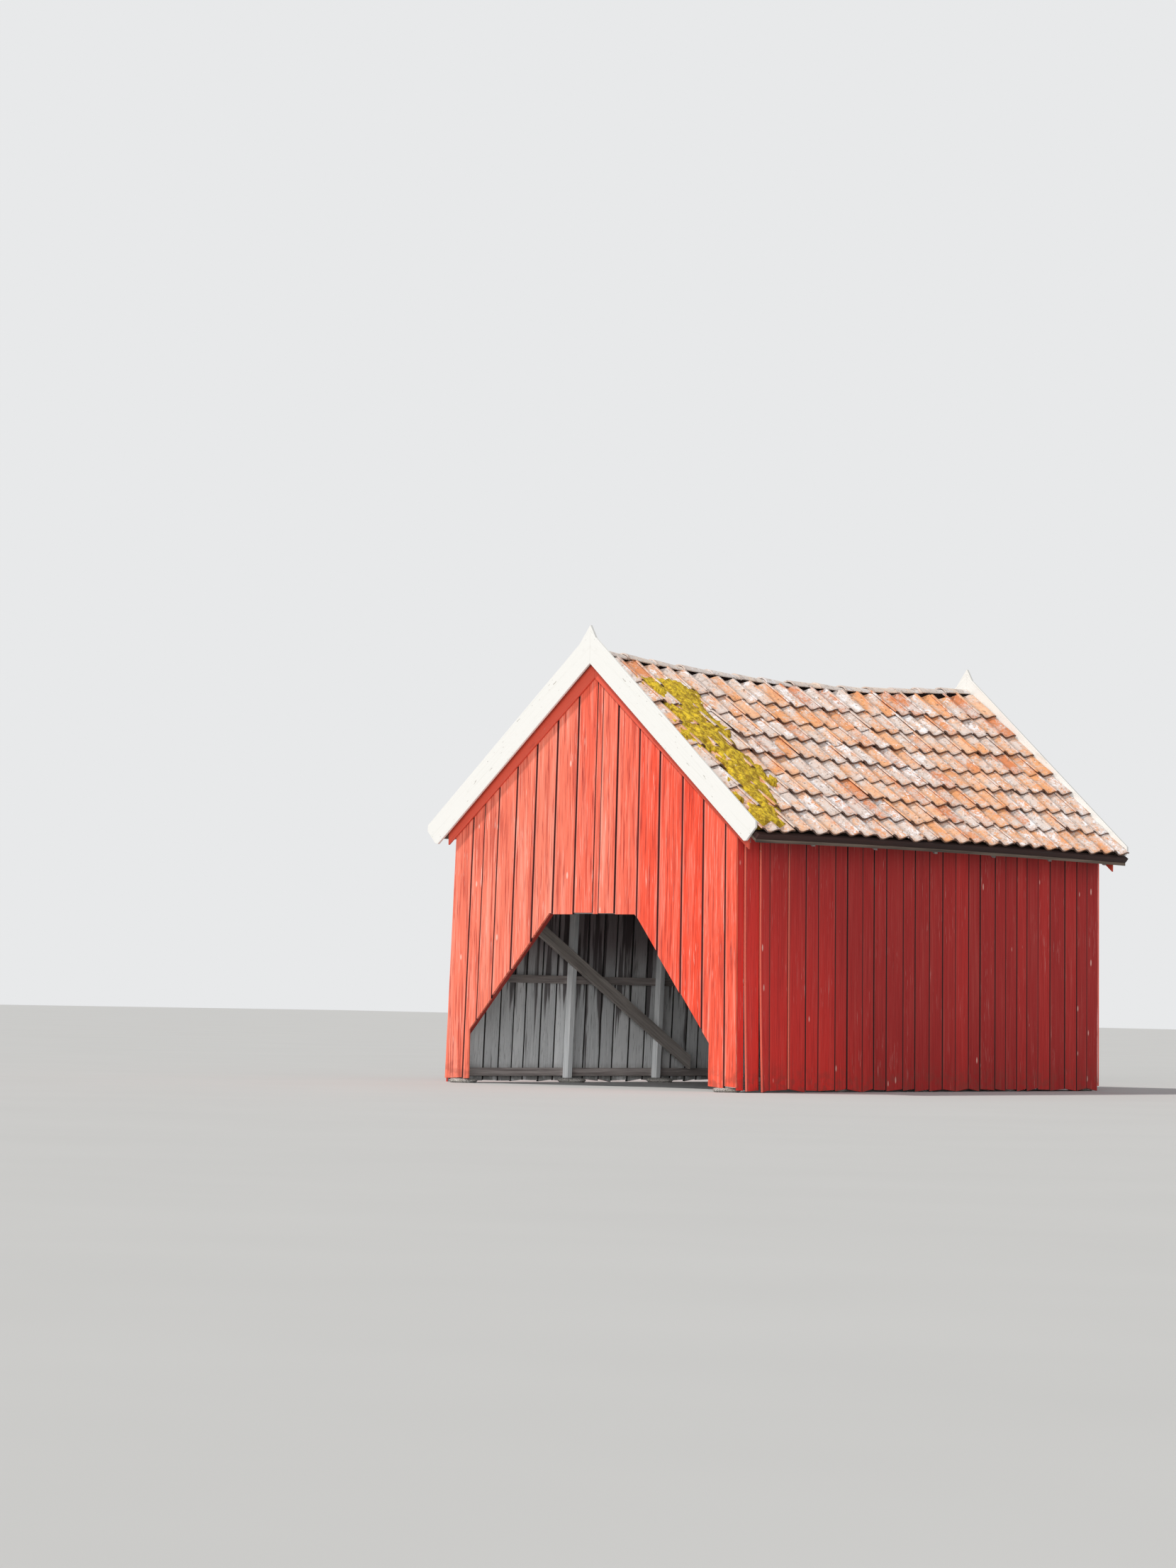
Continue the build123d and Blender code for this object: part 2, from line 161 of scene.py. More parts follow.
class RoofSlope:
    """The upper face of the roof boards on one side, read from the frame."""

    def __init__(self, name):
        mesh = node_mesh(f"roof_boards_{name}")
        places = [vertex.co.copy() for vertex in mesh.vertices]
        faces = [tuple(face.vertices) for face in mesh.polygons]
        self.side = SIDES[name]
        self.tree = BVHTree.FromPolygons(places, faces)
        self.eaves_reach = max(abs(place.x) for place in places) - EAVES_ROOM
        self.front = min(place.y for place in places)
        self.rear = max(place.y for place in places)

    def height(self, reach, y):
        """Height of the boards at a distance from the ridge and a place along the roof."""
        inside = min(max(reach, RIDGE_ROOM), self.eaves_reach)
        y_inside = min(max(y, self.front + END_ROOM), self.rear - END_ROOM)
        hit = self.tree.ray_cast(Vector((self.side * inside, y_inside, 9)), Vector((0, 0, -1)))[0]
        if inside == reach:
            return hit.z
        step = math.copysign(0.05, reach - inside)
        return hit.z + (hit.z - self.height(inside - step, y)) / step * (reach - inside)

    def pitch(self, y):
        """Slope of the boards at a place along the roof."""
        near, far = 0.2, 1.2
        return math.atan2(self.height(near, y) - self.height(far, y), far - near)

    def point(self, reach, y):
        """A point on the boards."""
        return Vector((self.side * reach, y, self.height(reach, y)))

    def axes(self, reach, y):
        """Directions along the roof, down its slope and out of it, as a right-handed set."""
        step, room = 0.04, 0.1
        middle = min(max(reach, room), self.eaves_reach - room)
        down = (self.point(middle + step, y) - self.point(middle - step, y)).normalized()
        line = (self.point(middle, y + step) - self.point(middle, y - step)).normalized()
        out = down.cross(line).normalized()
        if out.z < 0:
            out = -out
        return down.cross(out).normalized(), down, out


def roof_pitch():
    """Slope of the roof at its front, where it doesn't sag."""
    slope = RoofSlope("right")
    return slope.pitch(slope.front)


# Building meshes

def add_object(name, data):
    """A new object in the scene."""
    item = bpy.data.objects.new(name, data)
    bpy.context.scene.collection.objects.link(item)
    return item


def keep(name, mesh, materials, replaced=()):
    """Link a finished piece, hide the CAD nodes that it replaces and let it ride on the building."""
    for material in materials:
        mesh.materials.append(material)
    piece = add_object(name, mesh)
    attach(piece, "root")
    if replaced:
        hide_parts(*replaced)


def mesh_from(shape, name):
    """A plain mesh from a bmesh, which is freed."""
    mesh = bpy.data.meshes.new(name)
    shape.to_mesh(mesh)
    shape.free()
    return mesh


def thicken(sheet, back_place, attributes=(), back_finish=0):
    """Close a sheet into a solid by adding its back and its edges."""
    edges = [edge.link_loops[0] for edge in sheet.edges if edge.is_boundary]
    rims = [(loop.vert, loop.link_loop_next.vert) for loop in edges]
    faces = [list(face.verts) for face in sheet.faces]
    back = {}
    for vertex in list(sheet.verts):
        twin = sheet.verts.new(back_place(vertex.co))
        for layer in attributes:
            twin[layer] = vertex[layer]
        back[vertex] = twin
    for corners in faces:
        sheet.faces.new([back[vertex] for vertex in reversed(corners)]).material_index = back_finish
    for start, end in rims:
        sheet.faces.new([end, start, back[start], back[end]])


def slice_sheet(sheet, place, aim, clear=False):
    """Cut a sheet along a plane and, if asked, drop what lies beyond it."""
    geometry = sheet.verts[:] + sheet.edges[:] + sheet.faces[:]
    bmesh.ops.bisect_plane(sheet, geom=geometry, plane_co=place, plane_no=aim, clear_outer=clear)


def outer_sheet(nodes, outward, cuts=()):
    """The outer face of a wall as one flat sheet, from the CAD nodes that it is made of."""
    sheet = bmesh.new()
    for node in nodes:
        sheet.from_mesh(node_mesh(node))
    sheet.normal_update()
    aim = Vector(outward)
    others = [face for face in sheet.faces if face.normal.dot(aim) < 0.9]
    bmesh.ops.delete(sheet, geom=others, context="FACES")
    for place in cuts:
        slice_sheet(sheet, (place, 0, 0), (1, 0, 0))
    bmesh.ops.remove_doubles(sheet, verts=sheet.verts, dist=TINY)
    bmesh.ops.dissolve_limit(sheet, angle_limit=0.01, verts=sheet.verts, edges=sheet.edges)
    return sheet


def paint_seams(board, across, index, last, proud):
    """Finish a board's long edges: bare inside a seam, near black there with painted shade, painted at a
    corner, and a paler red where they stand proud, which is painted light.
    """
    for face in board.faces:
        shares = [vertex[across] for vertex in face.verts]
        if max(shares) < SEAM_SHARE and index > 0:
            # Material 2 is a paler red, painted light, on the edges of boards that stand proud
            face.material_index = 2 if index < proud else 1
        elif min(shares) > 1 - SEAM_SHARE and index < last:
            face.material_index = 1


def cut_boards(sheet, seams, inward, thickness, settings, shift, warp=None, proud=0, ragged=None):
    """Boards cut from a wall's sheet along its seams, each a little out of line with the next.

    A seam is a point and a direction square to it. The boards' backs stay in one plane.
    """
    chance = random.Random(settings.seed + shift)
    boards = bmesh.new()
    push = Vector(inward)
    foot = min(vertex.co.z for vertex in sheet.verts)
    top = max(vertex.co.z for vertex in sheet.verts)
    total = bpy.data.meshes.new("boards")
    for index in range(len(seams) - 1):
        board = sheet.copy()
        tone = board.verts.layers.float.new("tone")
        across = board.verts.layers.float.new("across")
        (start, start_aim), (end, end_aim) = seams[index], seams[index + 1]
        half = settings.gap / 2
        planes = [(start + start_aim * half, -start_aim), (end - end_aim * half, end_aim)]
        for place, aim in planes:
            slice_sheet(board, place, aim, clear=True)
        if not board.faces:
            board.free()
            continue
        levels = int((top - foot) / settings.bend_step)
        for level in range(1, levels):
            height = foot + (top - foot) * level / levels
            slice_sheet(board, (0, 0, height), (0, 0, 1))
        board_tone = chance.random()
        depth = chance.uniform(0, settings.unevenness)
        lift = chance.uniform(0, settings.foot_wear)
        slant = chance.uniform(-FOOT_SLANT, FOOT_SLANT)
        for vertex in board.verts:
            to_start = (vertex.co - start).dot(start_aim) + (settings.corner if index == 0 else 0)
            to_end = (end - vertex.co).dot(end_aim) + (settings.corner if index == len(seams) - 2 else 0)
            vertex[across] = to_start / (to_start + to_end)
            vertex[tone] = board_tone
        saw_slip = chance.uniform(-settings.ragged, settings.ragged)
        for vertex in board.verts:
            if vertex.co.z < foot + FOOT_ROOM:
                vertex.co.z += lift + slant * (vertex[across] - 0.5)
            elif ragged and ragged(vertex.co):
                vertex.co.z += saw_slip
        backs = {}
        for vertex in board.verts:
            bent = warp(index, vertex.co, vertex[across]) if warp else Vector()
            back = vertex.co + push * thickness + bent
            vertex.co += push * depth + bent
            backs[tuple(vertex.co)] = back
        thicken(board, lambda place: backs[tuple(place)], (tone, across), back_finish=1)
        paint_seams(board, across, index, len(seams) - 2, proud)
        board.to_mesh(total)
        board.free()
        boards.from_mesh(total)
    sheet.free()
    bpy.data.meshes.remove(total)
    return boards


def even_seams(start_line, end_line, widths):
    """Seams between two slanting lines, each a foot and a head, shared out as the widths say."""
    total = sum(widths)
    seams = []
    for count in range(len(widths) + 1):
        share = sum(widths[:count]) / total
        foot = start_line[0].lerp(end_line[0], share)
        head = start_line[1].lerp(end_line[1], share)
        rise = (head - foot).normalized()
        across = end_line[0] - start_line[0]
        aim = (across - rise * across.dot(rise)).normalized()
        seams.append((foot, aim))
    return seams


def random_widths(length, narrow, wide, seed):
    """Board widths that fill a length."""
    chance = random.Random(seed)
    widths = []
    while sum(widths) < length - wide / 2:
        widths.append(chance.uniform(narrow, wide))
    return widths


# Nodes and shaders

def colour(red, green, blue):
    """A colour given as on a screen, 0 to 255, as Blender's linear one."""
    shares = [value / 255 for value in (red, green, blue)]
    linear = [share / 12.92 if share <= 0.04045 else ((share + 0.055) / 1.055) ** 2.4 for share in shares]
    return (*linear, 1)


def add_node(tree, kind, settings=(), inputs=()):
    """Add a node: its settings first, then the values or links of its inputs, by name or by number."""
    node = tree.nodes.new(kind)
    for key, value in dict(settings).items():
        setattr(node, key, value)
    for key, value in inputs.items() if isinstance(inputs, dict) else enumerate(inputs):
        given = value.socket if isinstance(value, Value) else value
        if isinstance(given, bpy.types.NodeSocket):
            tree.links.new(given, node.inputs[key])
        else:
            node.inputs[key].default_value = given
    return node


def maths_method(operation, swapped=False):
    """A method that joins a value with another one, or with a number, in a Math node."""
    def method(self, other):
        return self.maths(operation, *((other, self) if swapped else (self, other)))
    return method


class Value:
    """A socket in a material that takes part in sums as a number does."""

    __add__ = __radd__ = maths_method("ADD")
    __mul__ = __rmul__ = maths_method("MULTIPLY")
    __sub__ = maths_method("SUBTRACT")
    __rsub__ = maths_method("SUBTRACT", swapped=True)
    __truediv__ = maths_method("DIVIDE")
    __rtruediv__ = maths_method("DIVIDE", swapped=True)
    least = maths_method("MINIMUM")
    most = maths_method("MAXIMUM")

    def __init__(self, shader, socket):
        self.shader = shader
        self.socket = socket

    def maths(self, operation, *values):
        return self.shader.add("ShaderNodeMath", {"operation": operation}, values)

    def fraction(self):
        return self.maths("FRACT", self)

    def distance(self):
        return self.maths("ABSOLUTE", self)

    def ramp(self, low, high):
        """0 below low and 1 above high, with a soft passage between them."""
        kind = {"interpolation_type": "SMOOTHSTEP"}
        return self.shader.add("ShaderNodeMapRange", kind, [self, low, high, 0.0, 1.0])


class Shader:
    """A material with a Principled surface, built one node at a time. Its place is Object coordinates."""

    def __init__(self, name):
        self.material = bpy.data.materials.new(name)
        self.material.use_nodes = True
        self.tree = self.material.node_tree
        self.tree.nodes.clear()
        self.place = self.add("ShaderNodeTexCoord", {}, {}, 3)

    def add(self, kind, settings, inputs, output=0):
        """Add a node and hand over one of its outputs."""
        return Value(self, add_node(self.tree, kind, settings, inputs).outputs[output])

    def attribute(self, name):
        return self.add("ShaderNodeAttribute", {"attribute_name": name}, {}, 2)

    def part(self, vector, axis):
        """One part of a vector: 0, 1 or 2."""
        return self.add("ShaderNodeSeparateXYZ", {}, [vector], axis)

    def join(self, *parts):
        return self.add("ShaderNodeCombineXYZ", {}, parts)

    def stretch(self, vector, factors):
        return self.add("ShaderNodeVectorMath", {"operation": "MULTIPLY"}, [vector, factors])

    def along(self, vector, aim):
        """How far a place lies in a direction."""
        return self.add("ShaderNodeVectorMath", {"operation": "DOT_PRODUCT"}, [vector, aim], 1)

    def height(self):
        return self.part(self.place, 2)

    def mirrored(self):
        """The place, the same on both sides of the building."""
        return self.join(self.part(self.place, 0).distance(), self.part(self.place, 1), self.height())

    def apart(self, *shifts):
        """The place, moved by the tone of a board or tile so that no two are alike."""
        tone = self.attribute("tone")
        moved = self.join(*(tone * shift for shift in shifts))
        return self.add("ShaderNodeVectorMath", {"operation": "ADD"}, [self.place, moved])

    def noise(self, vector, scale, detail=3.0, roughness=0.55):
        values = {"Vector": vector, "Scale": scale, "Detail": detail, "Roughness": roughness}
        return self.add("ShaderNodeTexNoise", {}, values)

    def streaks(self, vector, fine, coarse, *kind):
        """Noise drawn out upwards."""
        return self.noise(self.stretch(vector, (fine, fine, coarse)), 1.0, *kind)

    def fibres(self, axes, fine, coarse, *kind):
        """Noise drawn out along the first of three axes."""
        run, over, side = axes
        return self.noise(self.join(run * coarse, over * fine, side * fine), 1.0, *kind)

    def cells(self, vector, scale, output=0):
        """Distance to the nearest of scattered points, or with 1 that point's own colour."""
        return self.add("ShaderNodeTexVoronoi", {}, {"Vector": vector, "Scale": scale}, output)

    def mix(self, share, first, second):
        """Mix two colours, each a value or given as on a screen."""
        first, second = (paint if isinstance(paint, Value) else colour(*paint) for paint in (first, second))
        return self.add("ShaderNodeMix", {"data_type": "RGBA"}, {0: share, 6: first, 7: second}, 2)

    def coats(self, base, *layers):
        """Lay colours over a base, one after the other, each where its share says."""
        for share, paint in layers:
            base = self.mix(share, base, paint)
        return base

    def finish(self, base, roughness, height=None, strength=0.3, distance=0.002):
        """Feed the surface and hand over the material."""
        given = {"Base Color": base, "Roughness": roughness}
        if height is not None:
            bump = {"Strength": strength, "Distance": distance, "Height": height}
            given["Normal"] = self.add("ShaderNodeBump", {}, bump)
        surface = self.add("ShaderNodeBsdfPrincipled", {}, given)
        add_node(self.tree, "ShaderNodeOutputMaterial", {}, {"Surface": surface})
        return self.material


def painted_boards(name, body, paler_colour, dark, paler_way, contrast, rim):
    """Red paint on upright boards, with knots, streaks and dirt near the ground, painted shade in the seams
    and a painted highlight along one edge of each board.

    The paint turns a paler red between two places along a direction, which one argument holds, and on some
    boards at random.
    """
    shader = Shader(name)
    tone = shader.attribute("tone")
    across = shader.attribute("across")
    own = shader.apart(9.0, 5.0, 7.0)
    grain = shader.streaks(own, 75.0, 2.2, 4.0, 0.65)
    bands = shader.streaks(own, 24.0, 0.9)
    aim, start, end = paler_way
    paler_share = shader.along(shader.place, aim).ramp(start, end)
    fibre = shader.streaks(own, 130.0, 3.0, 2.0, 0.7).ramp(0.64, 0.71)
    worn = shader.noise(own, 1.9, 2.0).ramp(0.42, 0.64)
    knot_place = shader.stretch(own, (8.5, 8.5, 3.0))
    knots = 1.0 - shader.cells(knot_place, 1.0).ramp(0.05, 0.11)
    chosen = shader.part(shader.cells(knot_place, 1.0, 1), 0).ramp(0.52, 0.56)
    edge = across.least(1.0 - across)
    dirt = (1.0 - shader.height().ramp(0.04, 0.30)) * shader.noise(own, 14.0).ramp(0.42, 0.64)
    marked = 0.4 + 0.6 * contrast
    colours = shader.coats(
        body,
        # A paler red towards one side and on some boards at random; on the side walls the paler red towards
        # the front corner and the foot is painted light
        ((paler_share * 0.9 + (tone - 0.5) * 0.45).most(0.0).least(1.0), paler_colour),
        (bands.ramp(0.5, 0.72) * 0.4 * contrast, (255, 176, 156)),
        (grain.ramp(0.5, 0.70) * 0.85 * marked, dark),
        ((1.0 - bands.ramp(0.32, 0.44)) * 0.4 * marked, dark),
        ((1.0 - grain.ramp(0.30, 0.46)) * 0.4 * contrast, (255, 190, 172)),
        (fibre * worn * (0.3 + 0.6 * contrast), (250, 214, 202)),
        (knots * chosen * 0.7, (250, 206, 192)),
        # Painted highlight: a lighter red along one long edge of each board, as if it caught the light
        ((1.0 - across.ramp(0.05, 0.12)) * rim, (255, 180, 160)),
        # Painted shade: the seams are drawn dark crimson, as if shaded
        (1.0 - edge.ramp(0.025, 0.065), (92, 10, 9)),
        (dirt * 0.45, (128, 58, 46)),
    )
    return shader.finish(colours, grain * 0.25 + 0.5, grain * 0.6 + edge.ramp(0.0, 0.04) * 1.2, 0.45, 0.003)


def bare_timber(name, aim, pale, dark, mirrored=False, seams=0.0, stained=0.0):
    """Weathered timber whose grain runs in a direction, with cracks and, if asked, stains and seams drawn as
    dark lines of painted shade.
    """
    shader = Shader(name)
    place = shader.mirrored() if mirrored else shader.place
    main = Vector(aim).normalized()
    helper = Vector((0, 1, 0)) if abs(main.y) < 0.7 else Vector((1, 0, 0))
    second = main.cross(helper).normalized()
    third = main.cross(second).normalized()
    axes = [shader.along(place, tuple(way)) for way in (main, second, third)]
    grain = shader.fibres(axes, 60.0, 2.2, 5.0, 0.65)
    broad = shader.fibres(axes, 7.0, 0.9, 2.0)
    cracks = shader.fibres(axes, 130.0, 1.6, 2.0).ramp(0.68, 0.76)
    pale_share = (grain * 0.75 + broad * 0.45 - 0.1).ramp(0.2, 0.8)
    colours = shader.coats(dark, (pale_share, pale), (cracks * 0.7, (38, 34, 32)))
    bumps = grain - cracks * 0.8
    if seams:
        # Painted shade: dark lines where the boards meet, as if their gaps were shaded
        line = (axes[2] / seams).fraction()
        gap = line.least(1.0 - line).ramp(0.0, 0.035)
        colours = shader.mix(1.0 - gap, colours, (24, 20, 19))
        bumps = bumps + gap
    if stained:
        wet = shader.fibres(axes, 16.0, 0.5, 2.0).ramp(0.5, 0.68)
        colours = shader.mix(wet * shader.height().ramp(0.5, 1.9) * stained, colours, (44, 37, 35))
    return shader.finish(colours, grain * 0.2 + 0.7, bumps, 0.5, 0.004)


def board_backs(name, pale, dark):
    """Unpainted inner faces of the boards: grey and stained in streaks above, with painted shade that darkens
    them higher up and makes their seams near black.
    """
    shader = Shader(name)
    tone = shader.attribute("tone")
    across = shader.attribute("across")
    height = shader.height()
    own = shader.apart(9.0, 5.0, 7.0)
    grain = shader.streaks(own, 60.0, 2.0, 5.0, 0.65)
    cracks = shader.streaks(own, 110.0, 4.0, 3.0, 0.7).ramp(0.58, 0.68)
    drips = (shader.streaks(own, 15.0, 0.8) + height.ramp(0.35, 1.0) * 0.12).ramp(0.60, 0.68)
    damp = (1.0 - height.ramp(0.06, 0.19)) * shader.noise(own, 11.0, 3.0).ramp(0.3, 0.55)
    edge = across.least(1.0 - across).ramp(0.025, 0.065)
    colours = shader.coats(
        dark,
        ((grain * 0.7 + tone * 0.3 + 0.05).ramp(0.25, 0.75), pale),
        (cracks * 0.55, (86, 82, 80)),
        # Painted shade: the boards turn a darker grey-mauve from about a metre up, as if less light reached
        # them
        (height.ramp(0.85, 1.3) * 0.72, (122, 94, 98)),
        (drips * 0.8, (66, 50, 52)),
        (damp * 0.6, (82, 76, 68)),
        # Painted shade: the long edges near black, as if the seams were shaded
        (1.0 - edge, (26, 22, 21)),
    )
    return shader.finish(colours, 0.85, grain + edge, 0.4, 0.004)


def fired_clay(name, shades, lichen_amount):
    """Old roof tiles: each its own salmon, orange or pink, with pale lichen, dirt in the troughs and towards
    the tails, and painted shade along the edge of each tail.
    """
    shader = Shader(name)
    tone, along, trough = (shader.attribute(key) for key in ("tone", "along", "trough"))
    place = shader.place
    own = shader.apart(11.0, 3.0, 5.0)
    mottle = shader.noise(own, 22.0, 4.0, 0.65)
    patches = shader.noise(place, 5.5, 4.0, 0.62)
    fine = shader.noise(own, 40.0, 3.0, 0.7)
    coat = (tone * 7.3).fraction()
    lichen = (patches * 0.7 + fine * 0.5 + coat * 0.14).ramp(0.62 - lichen_amount, 0.86 - lichen_amount)
    crust = shader.noise(place, 17.0, 4.0, 0.7).ramp(0.53, 0.64)
    white = (shader.noise(place, 8.0, 3.0, 0.6) * 0.6 + fine * 0.46 + coat * 0.12).ramp(0.65, 0.72)
    spots = shader.noise(place, 33.0, 2.0, 0.5).ramp(0.62, 0.7)
    colours = shader.coats(
        shades[0],
        (tone.ramp(0.0, 0.4), shades[1]),
        (tone.ramp(0.5, 1.0), shades[2]),
        (mottle.ramp(0.45, 0.7) * 0.6, shades[3]),
        (lichen * 0.9, (222, 211, 205)),
        (crust * (lichen * 0.35 + 0.2), (150, 130, 118)),
        (white * 0.9, (243, 239, 240)),
        (spots * 0.55, (96, 76, 64)),
        (trough.ramp(0.7, 1.0) * 0.16 + along.ramp(0.90, 0.99) * 0.25, (128, 92, 68)),
        # Painted shade: a dark brown along the edge of each tail, as if shaded by its lap
        (along.ramp(0.984, 0.996) * 0.85, (78, 44, 28)),
    )
    return shader.finish(colours, 0.8, mottle * 0.6 + lichen * 0.5 + fine * 0.3, 0.5, 0.004)


def moss_cushion():
    """Yellow-green moss."""
    shader = Shader("moss")
    clumps = shader.noise(shader.place, 22.0, 4.0, 0.7)
    fine = shader.noise(shader.place, 140.0, 2.0, 0.6)
    colours = shader.coats(
        (158, 120, 8),
        (clumps.ramp(0.38, 0.62), (240, 204, 44)),
        (fine.ramp(0.5, 0.75) * 0.55, (248, 230, 104)),
    )
    return shader.finish(colours, 0.95, clumps + fine * 0.6, 0.9, 0.012)


def worn_paint(name, body, grime, bare):
    """Paint on trim boards, a little grimy, thin in places where the wood shows."""
    shader = Shader(name)
    place = shader.mirrored()
    pitch = roof_pitch()
    down = (math.cos(pitch), 0.0, -math.sin(pitch))
    out = (math.sin(pitch), 0.0, math.cos(pitch))
    axes = [shader.along(place, way) for way in (down, out, (0.0, 1.0, 0.0))]
    grain = shader.fibres(axes, 70.0, 2.0, 4.0, 0.6)
    patches = shader.fibres(axes, 14.0, 4.0, 4.0, 0.6)
    chips = shader.fibres(axes, 60.0, 14.0, 2.0).ramp(0.7, 0.74)
    colours = shader.coats(
        body,
        (grain.ramp(0.5, 0.8) * 0.35, grime),
        (patches.ramp(0.6, 0.78) * 0.5, grime),
        (chips * 0.7, bare),
    )
    return shader.finish(colours, grain * 0.2 + 0.45, grain - chips, 0.3, 0.002)


def speckled_stone():
    """Grey granite with dark and pale grains."""
    shader = Shader("granite")
    grains = shader.cells(shader.place, 170.0, 1)
    stain = shader.noise(shader.place, 9.0, 4.0, 0.6).ramp(0.5, 0.75)
    colours = shader.coats(
        (120, 116, 112),
        (shader.part(grains, 0), (206, 202, 196)),
        (shader.part(grains, 1).ramp(0.8, 0.84) * 0.8, (58, 56, 56)),
        (stain * 0.5, (132, 124, 100)),
    )
    return shader.finish(colours, 0.8, shader.noise(shader.place, 40.0, 5.0, 0.7), 0.6, 0.006)


# Walls

def keep_boards(name, boards, finishes, nodes):
    """Keep a wall's boards in place of its CAD nodes."""
    keep(name, mesh_from(boards, name), finishes, nodes)


def build_walls(settings):
    """The boards of all four walls."""
    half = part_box("front_tie_beam")[1][0]
    paint = painted_boards(
        "red_boards", (240, 74, 44), (240, 128, 102), (156, 28, 18),
        ((-1.0, 0.0, 0.0), -half, half * 0.7), 1.0, 0.3,
    )
    low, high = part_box("rear_cladding")
    # Painted shade: the side walls' red is a darker copy of the front's paint, and its slightly paler red
    # towards the front corner and the foot is painted light
    shade = painted_boards(
        "shaded_red_side_boards", (168, 22, 18), (236, 44, 32), (120, 8, 6),
        ((0.0, -1.0, -0.7), -high[1] * 0.1, high[1] * 0.85), 0.1, 0.04,
    )
    # Painted light: a paler, lit copy of the red paint for the front-facing edges of the boards that have
    # sprung off at the right corner
    sunny = worn_paint("sunlit_red_board_edges", (246, 124, 104), (214, 84, 68), (236, 186, 172))
    backs = board_backs("grey_board_backs", (250, 251, 251), (208, 210, 211))
    thickness = high[1] - low[1]
    build_front(settings, paint, backs, thickness)
    build_rear(settings, paint, backs, thickness)
    for name, side in SIDES.items():
        build_side(settings, name, side, shade, backs, sunny)


def build_front(settings, paint, backs, thickness):
    """Front boards, which fan out with the leaning walls and are cut round the opening."""
    left, right, gable = "front_cladding_left", "front_cladding_right", "front_cladding_gable"
    corners = [farthest(left, (1, 0, 1)).x, farthest(right, (-1, 0, 1)).x]
    sheet = outer_sheet((left, right, gable), (0, -1, 0), corners)
    lines = [
        (farthest(left, (-1, -0.1, -1)), farthest(gable, (-1, -0.1, 1))),
        (farthest(right, (1, -0.1, -1)), farthest(gable, (1, -0.1, 1))),
    ]
    seams = even_seams(*lines, FRONT_BOARDS)
    jambs = [farthest(left, (1, 0, -1)).x - TINY, farthest(right, (-1, 0, -1)).x + TINY]
    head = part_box(gable)[0][2] + TINY

    def by_opening(place):
        """Whether a place is beside the opening, where a move along its board shows in the cut alone."""
        return jambs[0] < place.x < jambs[1] and place.z < head

    boards = cut_boards(sheet, seams, (0, 1, 0), thickness, settings, 1, ragged=by_opening)
    keep_boards("front_boards", boards, (paint, backs), (left, right, gable))


def build_rear(settings, paint, backs, thickness):
    """Rear boards, shared out as at the front."""
    node = "rear_cladding"
    sheet = outer_sheet((node,), (0, 1, 0))
    lines = [(farthest(node, (side, 0.1, -1)), farthest(node, (side, 0.1, 1))) for side in (LEFT, RIGHT)]
    seams = even_seams(*lines, FRONT_BOARDS[::-1])
    boards = cut_boards(sheet, seams, (0, -1, 0), thickness, settings, 2)
    keep_boards("rear_boards", boards, (paint, backs), (node,))


def build_side(settings, name, side, paint, backs, sunny):
    """Boards of a side wall. Those by the front corner on the right have sprung away at the foot."""
    node = f"{name}_cladding"
    sheet = outer_sheet((node,), (side, 0, 0))
    low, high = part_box(node)
    foot = farthest(node, (side, 0, -5))
    head = farthest(node, (side, 0, 5))
    inner_foot = farthest(node, (-side, 0, -5))
    thickness = abs(foot.x - inner_foot.x)
    lines = [(Vector((foot.x, y, foot.z)), Vector((head.x, y, head.z))) for y in (low[1], high[1])]
    first = [board[0] for board in SPRUNG_BOARDS] if side == RIGHT else []
    narrow, wide = 0.15, 0.24
    widths = first + random_widths(high[1] - low[1] - sum(first), narrow, wide, settings.seed + side)
    seams = even_seams(*lines, widths)

    def sprung(index, place, share):
        """Outward bend of the first boards, most at their feet and along one edge."""
        if side == LEFT or index >= len(SPRUNG_BOARDS):
            return Vector()
        _, bend, twist = SPRUNG_BOARDS[index]
        fall = max(0.0, 1 - (place.z - foot.z) / settings.spring_height)
        stand = settings.head_spring + (1 - settings.head_spring) * fall ** 1.6
        return Vector((side * settings.spring * stand * (bend + twist * share), 0, 0))

    proud = len(SPRUNG_BOARDS) if side == RIGHT else 0
    boards = cut_boards(sheet, seams, (-side, 0, 0), thickness, settings, 3 + side, sprung, proud)
    keep_boards(f"{name}_boards", boards, (paint, backs, sunny), (node,))


# Roof

def tile_shell(name, rows, back_place):
    """A thin tile from two rows of points, each a place, its share along the tile and its share of trough."""
    shape = bmesh.new()
    along = shape.verts.layers.float.new("along")
    trough = shape.verts.layers.float.new("trough")
    grid = []
    for row in rows:
        grid.append([])
        for place, share, depth in row:
            vertex = shape.verts.new(place)
            vertex[along] = share
            vertex[trough] = depth
            grid[-1].append(vertex)
    near, far = grid
    for step in range(len(near) - 1):
        shape.faces.new([near[step], near[step + 1], far[step + 1], far[step]])
    thicken(shape, back_place, (along, trough))
    mesh = mesh_from(shape, name)
    mesh.shade_smooth()
    mesh.set_sharp_from_angle(angle=math.radians(TILE_SHARP))
    return mesh


def pantile(cover, length, settings):
    """One pantile with its head at y 0 and its tail at y length, a roll along one edge."""
    steps = settings.curve_steps

    def curve(y, share):
        """Points across the tile at one end."""
        points = []
        for step in range(steps + 1):
            x = (cover + settings.side_lap) * step / steps
            wave = 0.5 + 0.5 * math.cos(2 * math.pi * (x / cover - 0.08))
            height = settings.roll * wave + settings.tile_thickness * x / cover
            points.append(((x, y, height), share, 1 - wave))
        return points

    down = Vector((0, 0, settings.tile_thickness))
    return tile_shell("pantile", (curve(0.0, 0.0), curve(length, 1.0)), lambda place: place - down)


